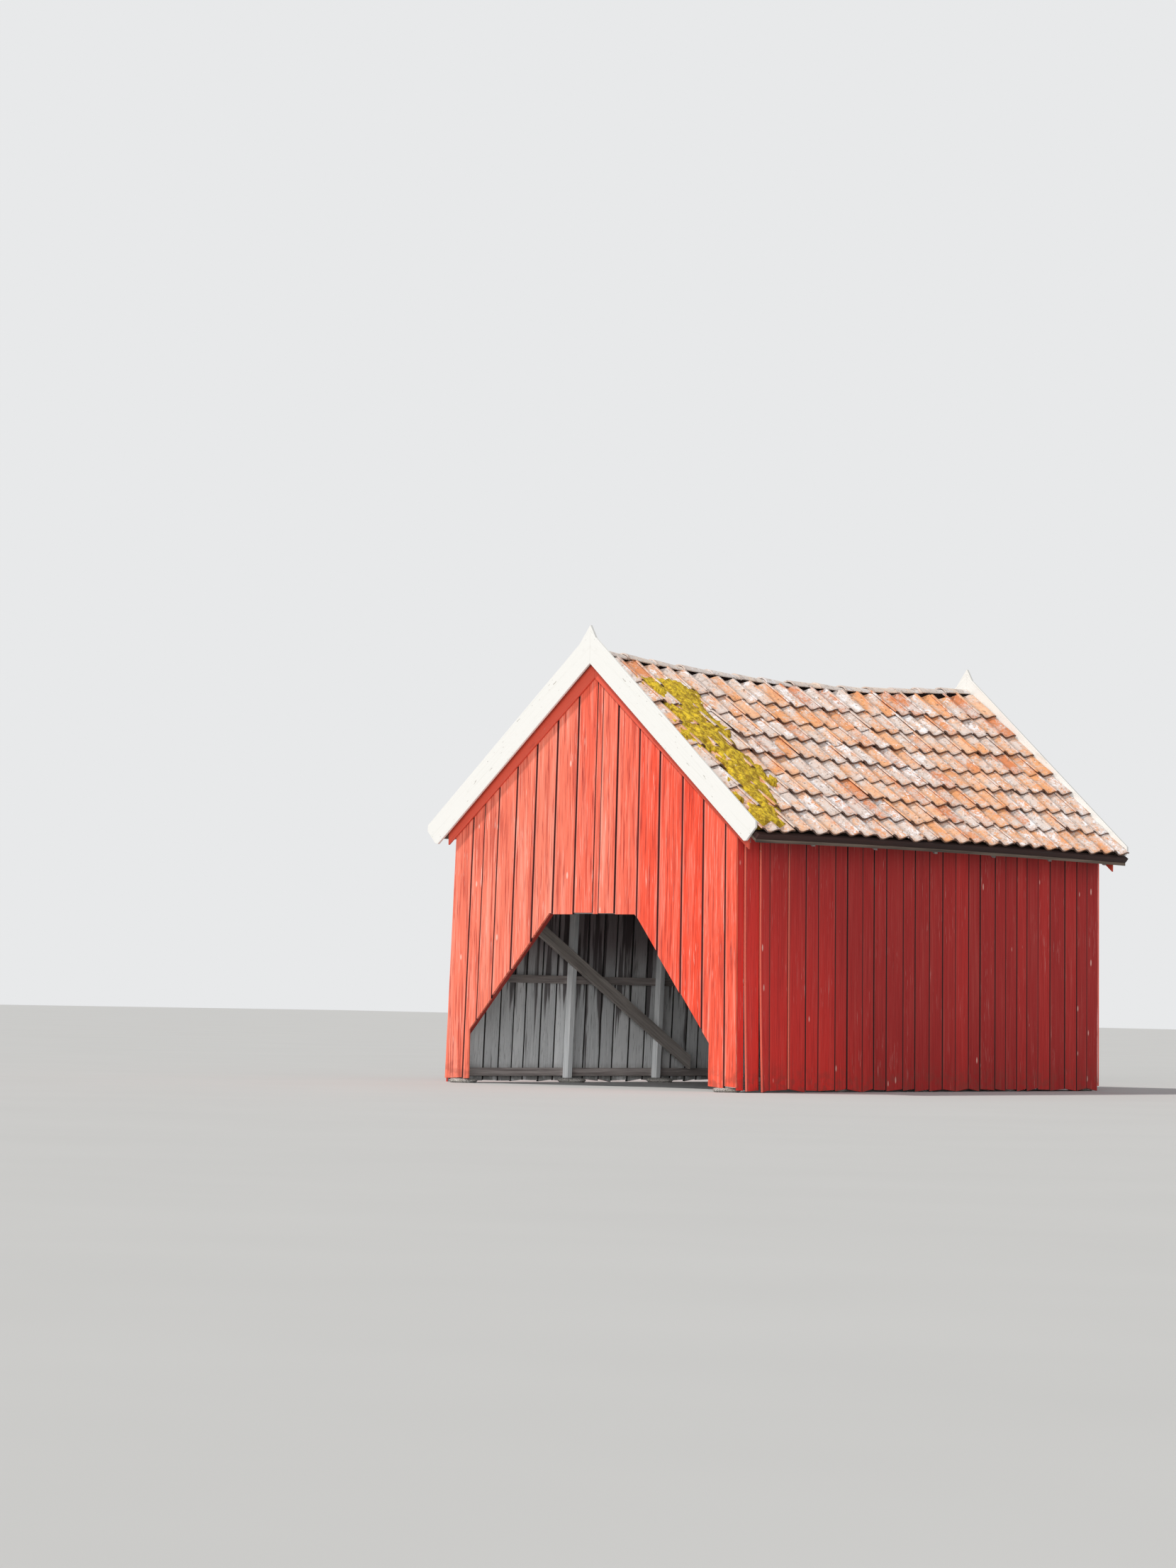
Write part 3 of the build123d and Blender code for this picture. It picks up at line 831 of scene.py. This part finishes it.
def ridge_tile(radius, narrow, length, thickness, spread):
    """One half-round ridge tile along Y, wide at y 0, where its rim is a little dirty."""
    rim = 0.98

    def arc(y, reach, share):
        """Points round the tile at one end."""
        points = []
        for step in range(ARC_STEPS + 1):
            angle = math.pi - spread - (math.pi - 2 * spread) * step / ARC_STEPS
            points.append(((reach * math.cos(angle), y, reach * math.sin(angle)), share, 1 - math.sin(angle)))
        return points

    def inside(place):
        """The inner face's point behind a point."""
        return place - Vector((place.x, 0, place.z)).normalized() * thickness

    return tile_shell("ridge_tile", (arc(0.0, radius, rim), arc(length, narrow, 0.0)), inside)


def laying_tree():
    """Geometry Nodes that lay one tile on each point, turned as the point says and a little off line."""
    tree = bpy.data.node_groups.new("lay_tiles", "GeometryNodeTree")
    inputs = (
        ("Points", "NodeSocketGeometry"), ("Tile", "NodeSocketObject"), ("Finish", "NodeSocketMaterial"),
        ("Turn", "NodeSocketFloat"), ("Shift", "NodeSocketFloat"), ("Seed", "NodeSocketInt"),
    )
    for name, kind in inputs:
        tree.interface.new_socket(name, in_out="INPUT", socket_type=kind)
    tree.interface.new_socket("Tiles", in_out="OUTPUT", socket_type="NodeSocketGeometry")

    def add(kind, inputs=(), **settings):
        return add_node(tree, kind, settings, inputs).outputs

    given = add("NodeGroupInput")
    turn = add("GeometryNodeInputNamedAttribute", {"Name": "turn"}, data_type="FLOAT_VECTOR")
    tile = add("GeometryNodeObjectInfo", {"Object": given["Tile"]})
    laid = {"Points": given["Points"], "Instance": tile["Geometry"], "Rotation": turn[0]}
    placed = add("GeometryNodeInstanceOnPoints", laid)
    limits = {0: (-1, -1, -1), 1: (1, 1, 1), "Seed": given["Seed"]}
    swing = add("FunctionNodeRandomValue", limits, data_type="FLOAT_VECTOR")
    angles = add("ShaderNodeVectorMath", {0: swing[0], "Scale": given["Turn"]}, operation="SCALE")
    offsets = add("ShaderNodeVectorMath", {0: swing[0], "Scale": given["Shift"]}, operation="SCALE")
    turned = add("GeometryNodeRotateInstances", {"Instances": placed[0], "Rotation": angles[0]})
    moved = add("GeometryNodeTranslateInstances", {"Instances": turned[0], "Translation": offsets[0]})
    real = add("GeometryNodeRealizeInstances", {"Geometry": moved[0]})
    finished = add("GeometryNodeSetMaterial", {"Geometry": real[0], "Material": given["Finish"]})
    add("NodeGroupOutput", [finished[0]])
    return tree


def lay(name, tile_mesh, points, finish, turn, shift, seed):
    """A plain mesh of tiles laid on points, each a place, a turn and a tone."""
    tile = add_object(f"{name}_one", tile_mesh)
    mesh = bpy.data.meshes.new(f"{name}_points")
    mesh.from_pydata([point[0] for point in points], [], [])
    turns = [angle for point in points for angle in point[1]]
    mesh.attributes.new("turn", "FLOAT_VECTOR", "POINT").data.foreach_set("vector", turns)
    mesh.attributes.new("tone", "FLOAT", "POINT").data.foreach_set("value", [point[2] for point in points])
    holder = add_object(f"{name}_points", mesh)
    modifier = holder.modifiers.new("lay", "NODES")
    tree = bpy.data.node_groups.get("lay_tiles") or laying_tree()
    modifier.node_group = tree
    values = {"Tile": tile, "Finish": finish, "Turn": turn, "Shift": shift, "Seed": seed}
    for item in tree.interface.items_tree:
        if item.in_out == "INPUT" and item.name in values:
            modifier[item.identifier] = values[item.name]
    bpy.context.view_layer.update()
    graph = bpy.context.evaluated_depsgraph_get()
    result = bpy.data.meshes.new_from_object(holder.evaluated_get(graph))
    result.name = name
    result.materials.clear()
    holder.modifiers.clear()
    bpy.data.objects.remove(holder)
    bpy.data.objects.remove(tile)
    return result


def eaves_slant(slope, front, rear):
    """Level share of a step down the slope and of a step out of it, at the eaves where they are largest."""
    shares = (0.05, 0.35, 0.65, 0.95)
    sets = [slope.axes(slope.eaves_reach, front + (rear - front) * share) for share in shares]
    return max(abs(down.x) for _, down, _ in sets), max(abs(out.x) for _, _, out in sets)


def build_tiles(settings):
    """The tile courses of both slopes, replacing the CAD slabs."""
    shades = ((218, 134, 86), (236, 168, 114), (240, 192, 156), (204, 132, 92))
    clay = fired_clay("pantiles", shades, 0.09)
    for name, side in SIDES.items():
        slope = RoofSlope(name)
        chance = random.Random(settings.seed + side)
        low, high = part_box(f"tiles_{name}")
        usable = high[1] - low[1] - 2 * settings.verge_gap
        cover = (usable - settings.side_lap) / settings.columns
        courses = settings.courses
        head_reach = settings.head_reach
        tail_reach = max(abs(low[0]), abs(high[0]))
        fall = math.cos(slope.pitch(0))
        lap_reach = settings.tile_lap * fall
        run, lean = eaves_slant(slope, low[1], high[1])
        steep = run / fall
        build_up = settings.batten + settings.roll + 2 * settings.tail_gap
        build_up += TAIL_LAYERS * settings.tile_thickness
        room = tail_reach - head_reach - lap_reach * steep - lean * build_up - 2 * settings.shift
        step = room / (courses - 1 + steep)
        length = (step + lap_reach) / fall
        tilt = math.asin((settings.tile_thickness + settings.tail_gap) / (step / fall))
        loose = {(course, column): rest for where, course, column, *rest in LOOSE_TILES if where == side}
        points = []
        for course in range(courses):
            for column in range(settings.columns):
                start = low[1] + settings.verge_gap + cover * column
                y = start + cover + settings.side_lap if side == RIGHT else start
                reach = head_reach + step * course
                line, down, out = slope.axes(reach, start + cover / 2)
                slip, turn, lift = loose.get((course, column), (-settings.slip * chance.random(), 0.0, 0.0))
                turned = Matrix((line, down, out)).transposed()
                turned = turned @ Matrix.Rotation(tilt, 3, "X") @ Matrix.Rotation(math.radians(turn), 3, "Z")
                rise = settings.batten + settings.tile_thickness + lift
                place = slope.point(reach, y) + out * rise + down * slip
                points.append((place, tuple(turned.to_euler()), chance.random()))
        tiles = lay(
            f"pantiles_{name}", pantile(cover, length, settings), points, clay,
            math.radians(settings.turn), settings.shift, settings.seed + 3 * side,
        )
        keep(f"pantiles_{name}", tiles, (clay,), (f"tiles_{name}",))


def build_ridge(settings):
    """Lapped ridge tiles that follow the sagging ridge."""
    shades = ((244, 216, 192), (248, 226, 206), (250, 234, 220), (226, 188, 158))
    clay = fired_clay("ridge_clay", shades, 0.16)
    boxes = sorted(loose_boxes("ridge_tiles"), key=lambda box: box[0].y)
    chance = random.Random(settings.seed)
    wander, end_room, top_room = 0.006, 0.004, 0.003
    turn, shift = math.radians(1.2), 0.002
    radius = boxes[0][1].x / math.cos(math.radians(settings.ridge_cut))
    cover = boxes[1][0].y - boxes[0][0].y
    length = boxes[0][1].y - boxes[0][0].y
    points = []
    for index, (low, high) in enumerate(boxes):
        rear_top = boxes[index + 1][1].z if index + 1 < len(boxes) else 2 * high.z - boxes[index - 1][1].z
        tilt = math.atan2(rear_top - high.z, cover)
        place = Vector((chance.uniform(-wander, wander), low.y + end_room, high.z - radius - top_room))
        points.append((place, (tilt, 0, 0), chance.random()))
    narrow = radius - settings.ridge_taper
    spread = math.radians(settings.ridge_open)
    tile = ridge_tile(radius, narrow, length - 2 * end_room, settings.tile_thickness, spread)
    tiles = lay("ridge_cover", tile, points, clay, turn, shift, settings.seed)
    keep("ridge_cover", tiles, (clay,), ("ridge_tiles",))


def moss_amount(reach, y, verge, share):
    """How far a place lies inside the moss: about 1 in the middle of its patch and 0 at its ragged edge.

    The patch winds down the roof beside the verge and narrows with the share of the way down.
    """
    centre = verge + 0.60 - 0.06 * share - 0.34 * share ** 4 + 0.04 * math.sin(share * 13)
    half = 0.36 - 0.15 * share + 0.04 * math.sin(share * 21)
    broad = noise.noise(Vector((reach * 7, y * 7, 0.3))) * 0.75
    fine = noise.noise(Vector((reach * 19, y * 19, 4))) * 0.4
    return 1 - abs(y - centre) / half + (broad + fine)


def build_moss(settings):
    """Moss on the right slope beside the front bargeboard, in cushions over the tiles."""
    slope = RoofSlope("right")
    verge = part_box("tiles_right")[0][1]
    step = settings.moss_step
    start, inset, thinnest = 0.30, 0.03, 0.08
    run, width = 2.0, 0.95
    shape = bmesh.new()
    grid = {}
    rows = int(run / step)
    for row in range(rows):
        reach = start + (slope.eaves_reach - start) * row / rows
        for column in range(int(width / step)):
            y = verge + inset + column * step
            amount = moss_amount(reach, y, verge, row / rows)
            if amount <= thinnest:
                continue
            lump = 0.5 + noise.noise(Vector((reach * 20, y * 20, 9))) * 0.5
            rise = MOSS_FOOT + MOSS_RISE * min(amount, 1) + MOSS_LUMP * lump
            grid[row, column] = shape.verts.new(slope.point(reach, y) + Vector((0, 0, rise)))
    for row, column in grid:
        corners = [(row, column), (row, column + 1), (row + 1, column + 1), (row + 1, column)]
        if all(corner in grid for corner in corners):
            face = shape.faces.new([grid[corner] for corner in corners])
            face.normal_update()
            if face.normal.z < 0:
                face.normal_flip()
    bmesh.ops.delete(shape, geom=[vertex for vertex in shape.verts if not vertex.link_faces], context="VERTS")
    thicken(shape, lambda place: place - Vector((0, 0, MOSS_THICKNESS)))
    mesh = mesh_from(shape, "roof_moss")
    mesh.shade_smooth()
    keep("roof_moss", mesh, (moss_cushion(),))


# Pieces kept from the frame

def finish_node(node, material, bevel):
    """Give a CAD node its material and soften its edges."""
    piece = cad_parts[node]
    piece.data.materials.clear()
    piece.data.materials.append(material)
    weld = piece.modifiers.new("weld", "WELD")
    weld.merge_threshold = TINY
    edges = piece.modifiers.new("edges", "BEVEL")
    edges.width = bevel
    edges.segments = 2
    edges.limit_method = "ANGLE"
    edges.angle_limit = math.radians(35)


def build_timber(settings):
    """Weathered timber of the building's frame. The first word that a node's name holds says its finish."""
    pale, dark = (198, 188, 184), (102, 92, 90)
    upright = bare_timber("upright_timber", (0, 0, 1), (250, 251, 251), (208, 211, 212))
    lengthwise = bare_timber("lengthwise_timber", (0, 1, 0), pale, dark)
    crosswise = bare_timber("crosswise_timber", (1, 0, 0), pale, dark)
    pitch = roof_pitch()
    rafter = bare_timber("rafter_timber", (math.cos(pitch), 0, -math.sin(pitch)), pale, dark, mirrored=True)
    boarding = bare_timber("roof_boarding", (0, 1, 0), (128, 112, 98), (66, 54, 46), seams=0.14, stained=0.6)
    # Painted shade: the battens are coloured a near-black brown so that the eaves under the tiles read as
    # shaded
    painted_shade_batten = bare_timber("batten_painted_shade", (0, 1, 0), (60, 32, 26), (32, 17, 14))
    edge = farthest("left_brace", (0, 1, 1)) - farthest("left_brace", (0, 0.2, 1))
    brace = bare_timber("brace_timber", (0, edge.y, edge.z), (206, 198, 192), (132, 124, 118))
    painted = worn_paint("dark_red_paint", (150, 44, 34), (96, 30, 24), (120, 96, 84))
    finishes = (
        ("post", upright), ("batten", painted_shade_batten), ("rafters", rafter), ("roof_boards", boarding),
        ("brace", brace), ("knee", painted), ("rear_rails", crosswise), ("header", crosswise),
        ("tie_beam", crosswise), ("rails", lengthwise), ("wall_plate", lengthwise),
    )
    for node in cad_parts:
        fitting = [material for word, material in finishes if word in node]
        if fitting:
            finish_node(node, fitting[0], settings.edge)


def build_trim(settings):
    """White bargeboards and the red boards behind them."""
    white = worn_paint("white_paint", (232, 231, 227), (200, 198, 188), (150, 142, 130))
    red = worn_paint("red_trim_paint", (222, 88, 66), (176, 52, 38), (196, 150, 136))
    for end in ("front", "rear"):
        finish_node(f"verge_boards_{end}", red, settings.edge)
        for name in SIDES:
            finish_node(f"bargeboard_{end}_{name}", white, settings.edge)


def build_stones():
    """Flat natural stones in place of the CAD blocks."""
    shape = bmesh.new()
    for index, (low, high) in enumerate(loose_boxes("corner_stones")):
        centre = (low + high) / 2
        half = (high - low) / 2
        stone = bmesh.new()
        bmesh.ops.create_cube(stone, size=2)
        bmesh.ops.subdivide_edges(stone, edges=stone.edges, cuts=7, use_grid_fill=True)
        for vertex in stone.verts:
            place = vertex.co
            aim = Vector((place.x, place.y, 0)).normalized()
            square = max(abs(place.x), abs(place.y))
            outline = 0.92 + 0.15 * noise.noise(aim * 1.3 + Vector((0, 0, index * 3.7)))
            worn = 1 - 0.22 * max(0.0, abs(place.z) - 0.3) * (square > 0.9)
            top = 0.86 + 0.12 * noise.noise(place * 2.3 + Vector((index, 0, 0))) if place.z > 0 else 1
            flat = aim * square * outline * worn
            vertex.co = centre + Vector((flat.x * half.x, flat.y * half.y, place.z * top * half.z))
        moved = mesh_from(stone, "stone")
        shape.from_mesh(moved)
        bpy.data.meshes.remove(moved)
    bmesh.ops.recalc_face_normals(shape, faces=shape.faces)
    mesh = mesh_from(shape, "footing_stones")
    mesh.shade_smooth()
    mesh.set_sharp_from_angle(angle=math.radians(45))
    keep("footing_stones", mesh, (speckled_stone(),), ("corner_stones",))


# Stage

def build_stage(settings):
    """A pale floor, a soft key light from the front left and the photograph's camera."""
    scene = bpy.context.scene
    scene.view_settings.view_transform = "Standard"
    world = bpy.data.worlds.new("studio")
    world.use_nodes = True
    scene.world = world
    tree = world.node_tree
    tree.nodes.clear()
    rays = add_node(tree, "ShaderNodeLightPath").outputs["Is Camera Ray"]
    light = {"Color": (0.93, 0.96, 1.0, 1), "Strength": settings.fill}
    seen = {"Color": colour(232, 233, 234)}
    kinds = [add_node(tree, "ShaderNodeBackground", {}, given).outputs[0] for given in (light, seen)]
    choice = add_node(tree, "ShaderNodeMixShader", {}, [rays, *kinds])
    add_node(tree, "ShaderNodeOutputWorld", {}, {"Surface": choice.outputs[0]})

    lamps = (
        ("key", settings.key, settings.softness, (1.0, 0.97, 0.92), KEY_AIM),
        ("soft", settings.soft, settings.soft_width, (1.0, 1.0, 1.0), SOFT_AIM),
    )
    for name, strength, width, tint, aim in lamps:
        light = bpy.data.lights.new(name, "SUN")
        light.energy = strength
        light.angle = math.radians(width)
        light.color = tint
        add_object(name, light).rotation_euler = Vector(aim).to_track_quat("Z", "Y").to_euler()

    reach, sight = 120, 500
    mesh = bpy.data.meshes.new("floor")
    corners = [(-reach, -reach, 0), (reach, -reach, 0), (reach, reach, 0), (-reach, reach, 0)]
    mesh.from_pydata(corners, [], [(0, 1, 2, 3)])
    shader = Shader("floor")
    tint = shader.noise(shader.place, 0.6, 2.0)
    mesh.materials.append(shader.finish(shader.mix(tint, (198, 198, 197), (204, 204, 203)), 0.9))
    add_object("floor", mesh)

    lens = bpy.data.cameras.new("camera")
    lens.sensor_fit = "HORIZONTAL"
    lens.sensor_width = SENSOR_WIDTH
    lens.lens = FOCAL_PIXELS * SENSOR_WIDTH / IMAGE_WIDTH
    lens.clip_end = sight
    scene.camera = add_object("camera", lens)
    stand = Matrix.Translation(CAMERA_PLACE)
    for angle, axis in ((CAMERA_YAW, "Z"), (90 + CAMERA_PITCH, "X"), (CAMERA_ROLL, "Z")):
        stand = stand @ Matrix.Rotation(math.radians(angle), 4, axis)
    scene.camera.matrix_world = stand


# The add-on

def metres(name, description, default):
    """A setting that is a length."""
    return FloatProperty(name=name, description=description, default=default, unit="LENGTH")


def number(name, description, default):
    """A setting that is a share, a strength or an angle in degrees."""
    return FloatProperty(name=name, description=description, default=default)


class BoathouseBoardSettings(bpy.types.PropertyGroup):
    """How the wall boards are cut and how they lie."""

    gap: metres("Gap", "Gap between two boards", 0.007)
    unevenness: metres("Unevenness", "How far one board may lie behind the next", 0.005)
    foot_wear: metres("Foot wear", "How much shorter a board may be at its foot", 0.007)
    ragged: metres("Ragged cut", "How far a board's saw cut may miss the line", 0.009)
    corner: metres("Corner", "Width of the seam shade left off at a wall's corners", 0.03)
    bend_step: metres("Bend step", "Height of the pieces in which a board bends", 0.25)
    spring: metres("Spring", "How far the corner boards have sprung off at the foot", 0.045)
    head_spring: number("Head spring", "Share of the spring that a board keeps at its head", 0.4)
    spring_height: metres("Spring height", "Height over which they have sprung off", 1.3)
    seed: IntProperty(name="Seed", description="Seed of the boards' differences", default=7)


class BoathouseTileSettings(bpy.types.PropertyGroup):
    """How the roof is tiled."""

    columns: IntProperty(name="Columns", description="Tiles in one course", default=24)
    courses: IntProperty(name="Courses", description="Courses on each slope", default=8)
    batten: metres("Batten", "Height of the battens", 0.025)
    roll: metres("Roll", "Height of a tile's roll", 0.036)
    tile_thickness: metres("Thickness", "Thickness of a tile", 0.012)
    tile_lap: metres("Lap", "Lap of a tile over the one below", 0.08)
    tail_gap: metres("Tail gap", "Gap under a tile's tail", 0.008)
    side_lap: metres("Side lap", "Lap over the next tile", 0.03)
    head_reach: metres("Head", "Level distance from the ridge to the first heads", 0.045)
    verge_gap: metres("Verge gap", "Space beside the bargeboards", 0.004)
    curve_steps: IntProperty(name="Steps", description="Steps in a tile's curve", default=12)
    slip: metres("Slip", "How far a tile may lie short of its course", 0.022)
    turn: number("Turn", "Largest turn out of line, in degrees", 1.6)
    shift: metres("Shift", "Largest shift out of line", 0.003)
    ridge_cut: number("Ridge cut", "Degrees from the level to the edges of the frame's ridge tiles", 12.0)
    ridge_open: number("Ridge open", "The same angle on the laid ridge tiles, in degrees", 30.0)
    ridge_taper: metres("Ridge taper", "How much narrower a ridge tile's rear end is", 0.019)
    moss_step: metres("Moss step", "Mesh size of the moss", 0.016)
    seed: IntProperty(name="Seed", description="Seed of the tiles' differences", default=11)


class BoathouseTimberSettings(bpy.types.PropertyGroup):
    """How the kept pieces are finished."""

    edge: metres("Edge", "Width of the softened edges", 0.003)


class BoathouseStageSettings(bpy.types.PropertyGroup):
    """Light around the building."""

    key: number("Key", "Strength of the key light", 2.3)
    soft: number("Soft", "Strength of the soft light from the front right", 1.7)
    soft_width: number("Soft width", "Width of the soft light, in degrees", 40.0)
    fill: number("Fill", "Strength of the light from all round", 0.36)
    softness: number("Softness", "Width of the key light, in degrees", 4.0)


class BOATHOUSE_OT_walls(bpy.types.Operator):
    """Board the four walls"""

    bl_idname = "boathouse.walls"
    bl_label = "Walls"

    def execute(self, context):
        build_walls(context.scene.boathouse_boards)
        return {"FINISHED"}


class BOATHOUSE_OT_tiles(bpy.types.Operator):
    """Tile both slopes"""

    bl_idname = "boathouse.tiles"
    bl_label = "Tiles"

    def execute(self, context):
        build_tiles(context.scene.boathouse_tiles)
        return {"FINISHED"}


class BOATHOUSE_OT_ridge(bpy.types.Operator):
    """Lay the ridge tiles"""

    bl_idname = "boathouse.ridge"
    bl_label = "Ridge"

    def execute(self, context):
        build_ridge(context.scene.boathouse_tiles)
        return {"FINISHED"}


class BOATHOUSE_OT_moss(bpy.types.Operator):
    """Grow the moss on the roof"""

    bl_idname = "boathouse.moss"
    bl_label = "Moss"

    def execute(self, context):
        build_moss(context.scene.boathouse_tiles)
        return {"FINISHED"}


class BOATHOUSE_OT_timber(bpy.types.Operator):
    """Finish the timber frame"""

    bl_idname = "boathouse.timber"
    bl_label = "Timber"

    def execute(self, context):
        build_timber(context.scene.boathouse_timber)
        return {"FINISHED"}


class BOATHOUSE_OT_trim(bpy.types.Operator):
    """Paint the bargeboards and verge boards"""

    bl_idname = "boathouse.trim"
    bl_label = "Trim"

    def execute(self, context):
        build_trim(context.scene.boathouse_timber)
        return {"FINISHED"}


class BOATHOUSE_OT_stones(bpy.types.Operator):
    """Lay the footing stones"""

    bl_idname = "boathouse.stones"
    bl_label = "Stones"

    def execute(self, context):
        build_stones()
        return {"FINISHED"}


class BOATHOUSE_OT_stage(bpy.types.Operator):
    """Set up the floor, the light and the camera"""

    bl_idname = "boathouse.stage"
    bl_label = "Stage"

    def execute(self, context):
        build_stage(context.scene.boathouse_stage)
        return {"FINISHED"}


OPERATORS = (
    BOATHOUSE_OT_walls, BOATHOUSE_OT_tiles, BOATHOUSE_OT_ridge, BOATHOUSE_OT_moss,
    BOATHOUSE_OT_timber, BOATHOUSE_OT_trim, BOATHOUSE_OT_stones, BOATHOUSE_OT_stage,
)


class BOATHOUSE_PT_panel(bpy.types.Panel):
    """Buttons and settings of the boathouse"""

    bl_idname = "BOATHOUSE_PT_panel"
    bl_label = "Boathouse"
    bl_space_type = "VIEW_3D"
    bl_region_type = "UI"
    bl_category = "Boathouse"

    def draw(self, context):
        for name in GROUPS:
            settings = getattr(context.scene, name)
            box = self.layout.box()
            for key in settings.__annotations__:
                box.prop(settings, key)
        for operator in OPERATORS:
            self.layout.operator(operator.bl_idname)


GROUPS = {
    "boathouse_boards": BoathouseBoardSettings,
    "boathouse_tiles": BoathouseTileSettings,
    "boathouse_timber": BoathouseTimberSettings,
    "boathouse_stage": BoathouseStageSettings,
}


def register():
    for name, group in GROUPS.items():
        bpy.utils.register_class(group)
        setattr(bpy.types.Scene, name, PointerProperty(type=group))
    for item in (*OPERATORS, BOATHOUSE_PT_panel):
        bpy.utils.register_class(item)


def unregister():
    for item in (BOATHOUSE_PT_panel, *reversed(OPERATORS)):
        bpy.utils.unregister_class(item)
    for name, group in reversed(GROUPS.items()):
        delattr(bpy.types.Scene, name)
        bpy.utils.unregister_class(group)


def main():
    """Build everything in order."""
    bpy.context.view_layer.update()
    register()
    for operator in OPERATORS:
        group, name = operator.bl_idname.split(".")
        getattr(getattr(bpy.ops, group), name)()
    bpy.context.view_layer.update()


if __name__ == "__main__":
    main()
